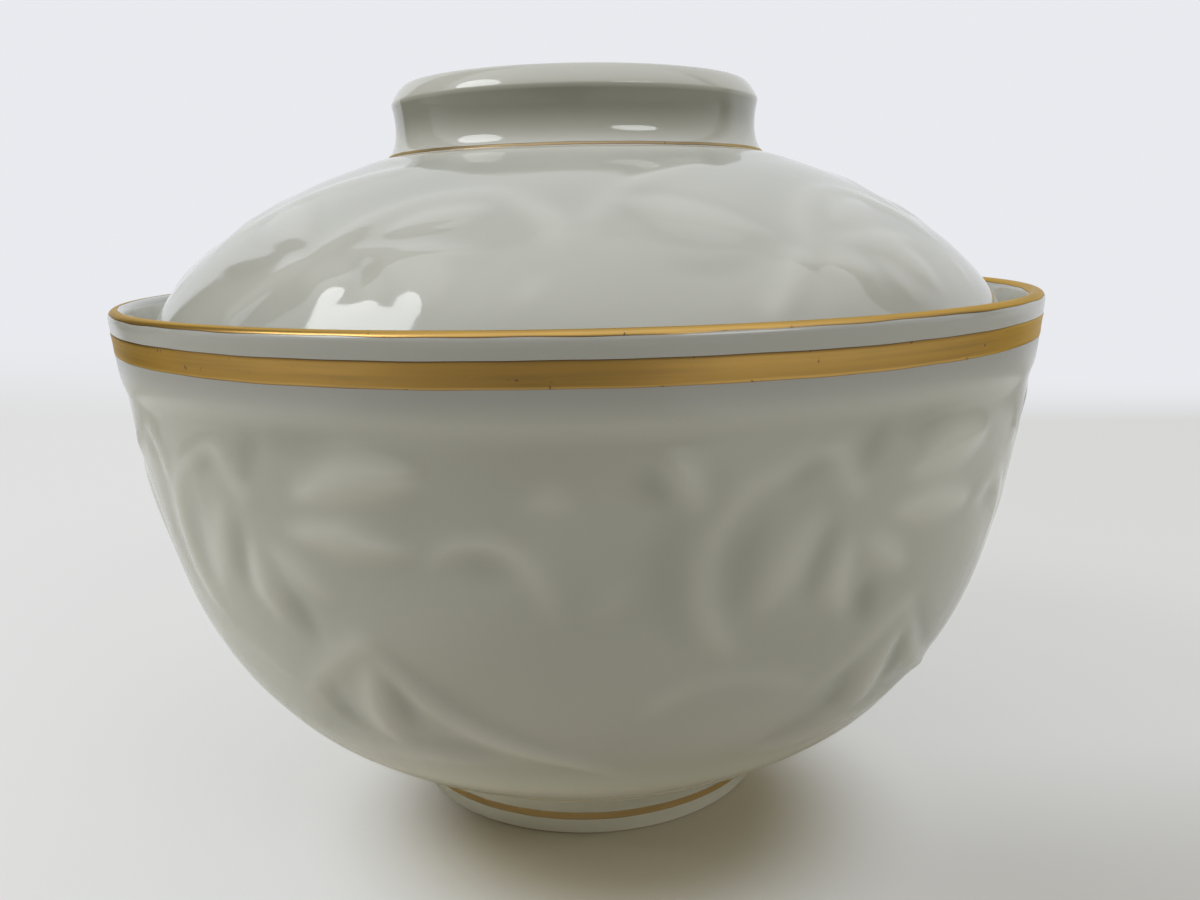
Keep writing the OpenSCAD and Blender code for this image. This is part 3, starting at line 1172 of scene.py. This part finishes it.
@dataclass(frozen=True)
class Lid:
    """Porcelain lid with its ring knob and one line of gold.

    Shade under the knob's crest is painted into its waist with the colour of pooled glaze, between the
    low and the high shares of its wall's height. The counts of rows are those of the outline's stretches.
    """

    edge_r: float = 56.56
    edge_t: float = 2.4
    edge_mid_h: float = 58.8
    top_h: float = 86.3
    knob_base_r: float = 25.2
    knob_top_r: float = 24.3
    knob_h: float = 9.2
    knob_t: float = 3.2
    knob_crest_r: float = 1.1
    knob_shoulder_r: float = 0.5
    knob_shoulder_angle: float = 22.0
    knob_bevel_angle: float = 45.0
    knob_waist: float = 0.6
    knob_recess_h: float = 5.7
    knob_draft: float = 0.8
    recess_fillet: float = 1.6
    roof_h: float = 86.7
    line_low: float = 0.03
    line_w: float = 0.4
    dome_pull_shares: tuple[Point, Point] = ((-0.07, 0.45), (0.53, 0.88))
    hollow_pull_shares: tuple[Point, Point] = ((0.544, 0.0), (0.998, 0.492))
    waist_pull_shares: Point = (0.2, 0.65)
    bare_edge_share: float = 0.2
    waist_shade_wall_t: float = 1.5
    waist_shade_low_shares: Point = (0.05, 0.75)
    waist_shade_high_shares: Point = (0.94, 1.04)
    dome_rows: int = 78
    hollow_rows: int = 33
    edge_rows: int = 11
    knob_rows: int = 15
    shoulder_rows: int = 4
    bevel_rows: int = 6
    crest_rows: int = 11
    fillet_rows: int = 7
    recess_rows: int = 5
    carving: CarvedZone = CarvedZone(
        LID_SPRAY,
        middles=(-144, -84, -24, 37, 97, 157),
        low_edge=4.5,
        high_edge=42.5,
        edge_widths=(2.4, 2.4),
        ground_depth=0.20,
    )
    knob_line: FiredLine = FiredLine("gold_line_under_knob", unevenness=0.04)
    glaze: PorcelainFinish = PorcelainFinish("glazed_lid")
    gold: GildingFinish = GildingFinish("thin_gold", gold=(0.50, 0.37, 0.20), wear=0.4)

    def dome(self) -> np.ndarray:
        """Gives the outside from the edge up to the foot of the knob."""
        return pulled((self.edge_r, self.edge_mid_h), (self.knob_base_r, self.top_h), self.dome_pull_shares)

    def crest_mid(self) -> Point:
        """Gives the middle of the knob's rounded crest."""
        crest_r = self.knob_crest_r
        return (self.knob_top_r - self.knob_t + crest_r, self.top_h + self.knob_h - crest_r)

    def bevel_r(self) -> float:
        """Works out the radius of the rounded bevel, at which the shoulder is as wide as the knob.

        Returns:
            The radius in millimetres.
        """
        low, high = (math.cos(math.radians(a)) for a in (self.knob_shoulder_angle, self.knob_bevel_angle))
        crest_reach = self.crest_mid()[0] + self.knob_crest_r * high
        shoulder_reach = self.knob_top_r - self.knob_shoulder_r * (1 - low)
        return (shoulder_reach - crest_reach) / (low - high)

    def bevel_mid(self) -> Point:
        """Works out the middle of the rounded bevel, which runs smoothly into the crest.

        Returns:
            The point, as radius and height.
        """
        angle = math.radians(self.knob_bevel_angle)
        crest_r, crest_h = self.crest_mid()
        inward = self.bevel_r() - self.knob_crest_r
        return (crest_r - inward * math.cos(angle), crest_h - inward * math.sin(angle))

    def shoulder_mid(self) -> Point:
        """Works out the middle of the knob's shoulder, which runs smoothly into the bevel.

        Returns:
            The point, as radius and height.
        """
        angle = math.radians(self.knob_shoulder_angle)
        bevel_r, bevel_h = self.bevel_mid()
        out = self.bevel_r() - self.knob_shoulder_r
        return (bevel_r + out * math.cos(angle), bevel_h + out * math.sin(angle))

    def knob(self) -> np.ndarray:
        """Samples the knob's wall from the dome up to its shoulder.

        Returns:
            An array of points, one row each.
        """
        start = (self.knob_base_r, self.top_h)
        end = (self.knob_top_r, self.shoulder_mid()[1])
        waist = self.knob_top_r - self.knob_waist
        pulls = [(waist, start[1] + (end[1] - start[1]) * share) for share in self.waist_pull_shares]
        return cubic(start, *pulls, end)

    def hollow(self) -> np.ndarray:
        """Gives the inside from the middle of the roof down to the edge."""
        edge = (self.edge_r - self.edge_t, self.edge_mid_h)
        return pulled((0.0, self.roof_h), edge, self.hollow_pull_shares)

    def knob_recess(self) -> list[np.ndarray]:
        """Lays out the knob's shoulder, bevel and crest and the recess inside it, in to the axis.

        Returns:
            The stretches of the outline, in order.
        """
        low, high = self.knob_shoulder_angle, self.knob_bevel_angle
        floor = self.top_h + self.knob_h - self.knob_recess_h
        fillet = self.recess_fillet
        flat_r = self.knob_top_r - self.knob_t - self.knob_draft - fillet
        return [
            resampled(arc(self.shoulder_mid(), self.knob_shoulder_r, 0, low), self.shoulder_rows)[1:],
            resampled(arc(self.bevel_mid(), self.bevel_r(), low, high), self.bevel_rows)[1:],
            resampled(arc(self.crest_mid(), self.knob_crest_r, high, 180), self.crest_rows)[1:],
            resampled(arc((flat_r, floor + fillet), fillet, 0, -90), self.fillet_rows),
            resampled(np.array([(flat_r, floor), (0.0, floor)]), self.recess_rows)[1:],
        ]

    def build_porcelain(self) -> bpy.types.Object:
        """Builds the porcelain, with the carving worked into its dome.

        Returns:
            The piece, with its points painted for pooled glaze, with painted shade in the knob's waist, and
            for bare edges.
        """
        dome = resampled(self.dome(), self.dome_rows)
        edge_mid = (self.edge_r - self.edge_t / 2, self.edge_mid_h)
        before = [
            resampled(self.hollow(), self.hollow_rows),
            resampled(arc(edge_mid, self.edge_t / 2, 180, 360), self.edge_rows)[1:-1],
        ]
        after = [resampled(self.knob(), self.knob_rows)[1:], *self.knob_recess()]
        piece, rows, pooled = carved_turning("porcelain_lid", before, dome, after, self.carving)
        out, up = rows.T
        # Painted shade: the knob's wall is darkened with the pooled-glaze colour, most of all under its
        # crest
        rise = (up - self.top_h) / (self.shoulder_mid()[1] - self.top_h)
        waist = smooth_step(rise, *self.waist_shade_low_shares) * (1 - smooth_step(rise, *self.waist_shade_high_shares))
        waist = waist * (out > self.knob_top_r - self.waist_shade_wall_t)
        paint_points(piece, "hollow", np.maximum(pooled, waist[:, None]))
        seat_h = self.edge_mid_h - self.edge_t * self.bare_edge_share
        paint_rows(piece, "bare", (up < seat_h) & (out > edge_mid[0] - self.edge_t))
        return piece

    def build(self) -> dict[str, bpy.types.Object]:
        """Builds the porcelain and the line of gold at the foot of its knob.

        Returns:
            The pieces, by the node that each stands for.
        """
        knob = self.knob()
        line_high = np.interp(self.top_h + self.line_w, knob[:, 1], lengths_along(knob))
        return {
            "lid": self.build_porcelain(),
            "knob_gold_line": self.knob_line.build(knob, self.line_low, line_high),
        }

    def dress(self, pieces: dict[str, bpy.types.Object], groups: Groups) -> None:
        """Gives each piece its finish.

        Args:
            pieces: The pieces, by the node that each stands for.
            groups: The shared node groups.
        """
        finishes = {"lid": self.glaze.material(groups), "knob_gold_line": self.gold.material(groups)}
        for node, piece in pieces.items():
            piece.data.materials.append(finishes[node])


@dataclass(frozen=True)
class Camera:
    """Camera where the photograph was taken from, with angles in degrees and its clipping in metres."""

    eye: Place = (0.0, -147.87, 77.58)
    yaw: float = 0.9397
    pitch: float = 12.164
    roll: float = -1.1574
    lens: float = 31.5
    sensor: float = 36.0
    clip: Point = (0.01, 20.0)

    def place(self) -> None:
        """Places the camera and makes it the scene's own."""
        yaw, pitch, roll = (math.radians(a) for a in (self.yaw, self.pitch, self.roll))
        forward = Vector(
            (math.sin(yaw) * math.cos(pitch), math.cos(yaw) * math.cos(pitch), -math.sin(pitch))
        )
        level = Vector((math.cos(yaw), -math.sin(yaw), 0.0))
        up = level.cross(forward)
        right = level * math.cos(roll) + up * math.sin(roll)
        up = up * math.cos(roll) - level * math.sin(roll)
        stance = Matrix((right, up, -forward)).transposed().to_4x4()
        stance.translation = Vector(self.eye) * MM
        data = bpy.data.cameras.new("camera")
        data.lens = self.lens
        data.sensor_width = self.sensor
        data.clip_start, data.clip_end = self.clip
        camera = placed("camera", data)
        camera.matrix_world = stance
        bpy.context.scene.camera = camera


@dataclass(frozen=True)
class Landing:
    """Where on the sweep a ray lands, in metres, and what kind of ray it is."""

    across: bpy.types.NodeSocket
    depth: bpy.types.NodeSocket
    away: bpy.types.NodeSocket
    ray: bpy.types.bpy_prop_collection


@dataclass(frozen=True)
class Sweep:
    """Pale matt floor that turns into an evenly lit backdrop, with painted shadow and light on the floor.

    The sizes of the sheet are in millimetres, and the rest in metres. The pairs named across, depth
    and reach are places along X, along Y and away from the middle, between which the floor changes.
    """

    wall_y: float = 360.0
    sweep_r: float = 110.0
    half_width: float = 2200.0
    wall_h: float = 1600.0
    front_y: float = -2200.0
    bend_step: int = 6
    wall_foot: Point = (0.14, 0.34)
    horizon: Point = (0.255, 0.312)
    horizon_slope: float = 0.08
    white_wall: Point = (-0.375, 0.65)
    white_wall_fades: Point = (0.03, 0.65)
    floor: Colour = (0.75, 0.74, 0.71)
    # Contact shadow painted on the floor: its colour, its middle, and the distances from that middle over
    # which it fades
    painted_shadow_colour: Colour = (0.49, 0.445, 0.335)
    shadow_mid: Point = (0.004, -0.017)
    shadow_edge: Point = (0.017, 0.043)
    # Floor colours seen only in the glaze: painted shade far off, and a painted shadow in a strip in front
    # of the object
    painted_far_shade_in_glaze: Colour = (0.46, 0.44, 0.40)
    far_reach: Point = (0.24, 0.29)
    painted_shadow_in_glaze: Colour = (0.24, 0.22, 0.18)
    dim_across: Point = (-0.15, 0.055)
    dim_fades: Point = (0.03, 0.03)
    dim_depth: Point = (-0.12, -0.18)
    # Glow painted on the open floor for the camera: painted light, lightest on the left, and a painted
    # shadow in front of the object
    left_painted_light: Colour = (0.765, 0.775, 0.77)
    right_painted_light: Colour = (0.685, 0.69, 0.68)
    pale_change: Point = (-0.03, 0.06)
    front_painted_shadow: Colour = (0.41, 0.40, 0.365)
    front_depth: Point = (0.0, -0.05)
    front_reach: Point = (0.17, 0.09)
    pale_share: float = 0.6
    # Floor colours that only light bounced up at the object sees: painted bounce light, dim in front, strong
    # on the left, on the right and round the foot
    bounce: Colour = (0.37, 0.34, 0.275)
    right_bounce: Colour = (0.76, 0.73, 0.63)
    right_across: Point = (0.02, 0.12)
    left_bounce: Colour = (1.00, 0.97, 0.86)
    left_across: Point = (0.0, -0.05)
    left_depth: Point = (-0.17, -0.06)
    foot_bounce: Colour = (0.97, 0.91, 0.74)
    foot_reach: Point = (0.074, 0.040)

    def wall_share(self, nodes: Nodes, at: Landing) -> bpy.types.NodeSocket:
        """Mixes where the floor turns into the wall, which lies further back for the camera.

        Args:
            nodes: The material's nodes.
            at: Where a ray lands.

        Returns:
            0 on the floor and 1 on the wall.
        """
        slant = nodes.math("MULTIPLY_ADD", at.across, self.horizon_slope, at.depth)
        ends = {2: nodes.ramp(at.depth, *self.wall_foot), 3: nodes.ramp(slant, *self.horizon)}
        return nodes.add("Mix", {0: at.ray["Is Camera Ray"], **ends}).outputs[0]

    def seen_floor(self, nodes: Nodes, at: Landing, lit: bpy.types.NodeSocket) -> bpy.types.NodeSocket:
        """Mixes the floor as the camera and the glaze see it.

        Args:
            nodes: The material's nodes.
            at: Where a ray lands.
            lit: 0 in the contact shadow painted round the object's foot and 1 outside it.

        Returns:
            The colour: a painted contact shadow, warm and dark round the foot, and in the glaze only a
                painted shadow in front and a painted greyer floor far off.
        """
        # In reflections only, the floor is painted greyer far off and painted dark in front of the object
        mirrored = at.ray["Is Glossy Ray"]
        tinted = nodes.mix(lit, opaque(self.painted_shadow_colour), opaque(self.floor))
        far = nodes.math("MULTIPLY", nodes.ramp(at.away, *self.far_reach), mirrored)
        faded = nodes.mix(far, tinted, opaque(self.painted_far_shade_in_glaze))
        across = nodes.within(at.across, self.dim_across, self.dim_fades)
        dim = nodes.math("MULTIPLY", across, nodes.ramp(at.depth, *self.dim_depth))
        return nodes.mix(nodes.math("MULTIPLY", dim, mirrored), faded, opaque(self.painted_shadow_in_glaze))

    def bounced_floor(self, nodes: Nodes, at: Landing) -> bpy.types.NodeSocket:
        """Mixes the colour that the floor has only for light bounced up at the object: painted bounce light,
        set by place.

        Args:
            nodes: The material's nodes.
            at: Where a ray lands.

        Returns:
            The colour: pale on the left, on the right and round the foot, and dim in between.
        """
        sides = nodes.mix(
            nodes.ramp(at.across, *self.right_across), opaque(self.bounce), opaque(self.right_bounce)
        )
        left = nodes.math(
            "MULTIPLY", nodes.ramp(at.across, *self.left_across), nodes.ramp(at.depth, *self.left_depth)
        )
        sides = nodes.mix(left, sides, opaque(self.left_bounce))
        return nodes.mix(nodes.ramp(at.away, *self.foot_reach), sides, opaque(self.foot_bounce))

    def painted_floor_glow(self, nodes: Nodes, at: Landing) -> bpy.types.NodeSocket:
        """Mixes the colour of the glow that lifts the open floor for the camera: painted light and shade.

        Args:
            nodes: The material's nodes.
            at: Where a ray lands.

        Returns:
            The colour: painted light, lightest on the left, and a painted shadow, darker in front of the
                object.
        """
        in_front = nodes.math(
            "MULTIPLY", nodes.ramp(at.depth, *self.front_depth), nodes.ramp(at.away, *self.front_reach)
        )
        right = nodes.mix(in_front, opaque(self.right_painted_light), opaque(self.front_painted_shadow))
        return nodes.mix(nodes.ramp(at.across, *self.pale_change), opaque(self.left_painted_light), right)

    def wall_colour(self, nodes: Nodes, at: Landing) -> bpy.types.NodeSocket:
        """Mixes the wall, which the camera sees evenly lit and the glaze sees end on both sides.

        Args:
            nodes: The material's nodes.
            at: Where a ray lands.

        Returns:
            The colour.
        """
        white = nodes.within(at.across, self.white_wall, self.white_wall_fades)
        lit = nodes.math("MAXIMUM", white, at.ray["Is Camera Ray"])
        return nodes.mix(lit, opaque(DIM_ROOM), opaque(BACKDROP))

    def material(self) -> bpy.types.Material:
        """Builds the material of the floor and the wall.

        Returns:
            The material.
        """
        made, nodes = new_material("pale_sweep")
        place = nodes.add("TexCoord").outputs["Object"]
        across, depth = nodes.add("SeparateXYZ", {0: place}).outputs[:2]
        away = nodes.add("VectorMath", {0: place}, operation="LENGTH").outputs["Value"]
        at = Landing(across, depth, away, nodes.add("LightPath").outputs)
        # Painted contact shadow: the floor is darker and warmer near a point just in front of the foot
        shadow_mid = (*self.shadow_mid, 0.0)
        from_shadow = nodes.add("VectorMath", {0: place, 1: shadow_mid}, operation="DISTANCE")
        lit = nodes.ramp(from_shadow.outputs["Value"], *self.shadow_edge)
        seen = self.seen_floor(nodes, at, lit)
        colour = nodes.mix(at.ray["Is Diffuse Ray"], seen, self.bounced_floor(nodes, at))
        matt = nodes.add("BsdfDiffuse", {"Color": colour}).outputs[0]
        # Outside the painted contact shadow the floor glows for the camera, with painted light on the left
        # and a painted shadow in front
        pale = nodes.add("Emission", {"Color": self.painted_floor_glow(nodes, at), "Strength": 1.0}).outputs[0]
        lift = nodes.math("MULTIPLY", nodes.math("MULTIPLY", lit, at.ray["Is Camera Ray"]), self.pale_share)
        floor = nodes.add("MixShader", {0: lift, 1: matt, 2: pale}).outputs[0]
        wall = nodes.add("Emission", {"Color": self.wall_colour(nodes, at), "Strength": 1.0}).outputs[0]
        blend = nodes.add("MixShader", {0: self.wall_share(nodes, at), 1: floor, 2: wall})
        nodes.add("OutputMaterial", {"Surface": blend.outputs[0]})
        return made

    def build(self) -> None:
        """Builds the floor and backdrop as one sheet that curves up behind the object."""
        bend = arc((self.wall_y - self.sweep_r, self.sweep_r), self.sweep_r, -90, 0)
        line = [(self.front_y, 0.0), *map(tuple, bend[:: self.bend_step]), (self.wall_y, self.wall_h)]
        points = [(x * MM, y * MM, z * MM) for y, z in line for x in (-self.half_width, self.half_width)]
        faces = [(2 * k, 2 * k + 1, 2 * k + 3, 2 * k + 2) for k in range(len(line) - 1)]
        mesh = bpy.data.meshes.new("sweep")
        mesh.from_pydata(points, [], faces)
        mesh.polygons.foreach_set("use_smooth", [True] * len(faces))
        mesh.materials.append(self.material())
        placed("sweep", mesh)


@dataclass(frozen=True)
class Room:
    """Light of the room: pale behind the object, dim and slightly warm in front of it.

    Each edge gives the two values of a direction's slant, from -1 to 1, between which it changes.
    """

    ceiling: Colour = (1.16, 1.19, 1.24)
    ceiling_towards: Place = (-0.04, 0.34, 0.94)
    ceiling_edge: Point = (0.20, 0.85)
    behind_edge: Point = (-0.68, 0.78)

    def light(self) -> None:
        """Sets up the world."""
        world = bpy.data.worlds.new("room")
        world.use_nodes = True
        bpy.context.scene.world = world
        nodes = Nodes(world.node_tree)
        towards = nodes.add("TexCoord").outputs["Generated"]
        depth = nodes.add("SeparateXYZ", {0: towards}).outputs[1]
        height = nodes.add("VectorMath", {0: towards, 1: self.ceiling_towards}, operation="DOT_PRODUCT")
        high = nodes.ramp(height.outputs["Value"], *self.ceiling_edge)
        side = nodes.mix(nodes.ramp(depth, *self.behind_edge), opaque(DIM_ROOM), opaque(BACKDROP))
        dome = nodes.mix(high, side, opaque(self.ceiling))
        seen = nodes.add("LightPath").outputs["Is Camera Ray"]
        colour = nodes.mix(seen, dome, opaque(BACKDROP))
        light = nodes.add("Background", {"Color": colour, "Strength": 1.0})
        nodes.add("OutputWorld", {"Surface": light.outputs[0]})


@dataclass(frozen=True)
class SoftLight:
    """A soft oval light that faces the object.

    Its azimuth and elevation are in degrees, its size and reach in metres and its power in watts.
    A glossy surface shows it only where it is mirrored.
    """

    name: str
    azimuth: float
    elevation: float
    size: Point
    power: float
    mirrored: bool = True
    reach: float = 1.2
    aim: Place = (0.0, 0.0, 0.07)
    colour: Colour = (0.96, 0.98, 1.0)

    def hang(self) -> None:
        """Hangs the light."""
        data = bpy.data.lights.new(self.name, "AREA")
        data.shape = "ELLIPSE"
        data.size, data.size_y = self.size
        data.energy = self.power
        data.color = self.colour
        light = placed(self.name, data)
        light.visible_glossy = self.mirrored
        a, e = math.radians(self.azimuth), math.radians(self.elevation)
        away = Vector((math.sin(a) * math.cos(e), -math.cos(a) * math.cos(e), math.sin(e)))
        light.location = away * self.reach + Vector(self.aim)
        light.rotation_euler = away.to_track_quat("Z", "Y").to_euler()


@dataclass(frozen=True)
class Studio:
    """Everything round the object."""

    camera: Camera = Camera()
    sweep: Sweep = Sweep()
    room: Room = Room()
    lights: tuple[SoftLight, ...] = (
        SoftLight("left_window", azimuth=-73.5, elevation=44.0, size=(0.56, 0.44), power=3.7),
        SoftLight("front_window", azimuth=39.0, elevation=33.0, size=(0.58, 0.23), power=2.3),
        SoftLight("left_fill", azimuth=-104.0, elevation=6.0, size=(0.12, 0.30), power=2.2, mirrored=False),
    )

    def build(self) -> None:
        """Sets up the camera, the floor and backdrop, the room and the lights."""
        self.camera.place()
        self.sweep.build()
        self.room.light()
        for light in self.lights:
            light.hang()


def main() -> None:
    """Builds the bowl, the lid and the studio."""
    logging.basicConfig(level=logging.INFO, format="%(name)s: %(message)s")
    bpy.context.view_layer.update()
    bpy.context.scene.view_settings.view_transform = "Standard"
    groups = Groups(MottledGlaze().group(), IronSpecks().group(), BrushedGilding().group())
    for part, body in ((Bowl(), Body.BOWL), (Lid(), Body.LID)):
        pieces = part.build()
        part.dress(pieces, groups)
        for node, piece in pieces.items():
            declare(piece, body, node)
    Studio().build()


if __name__ == "__main__":
    main()
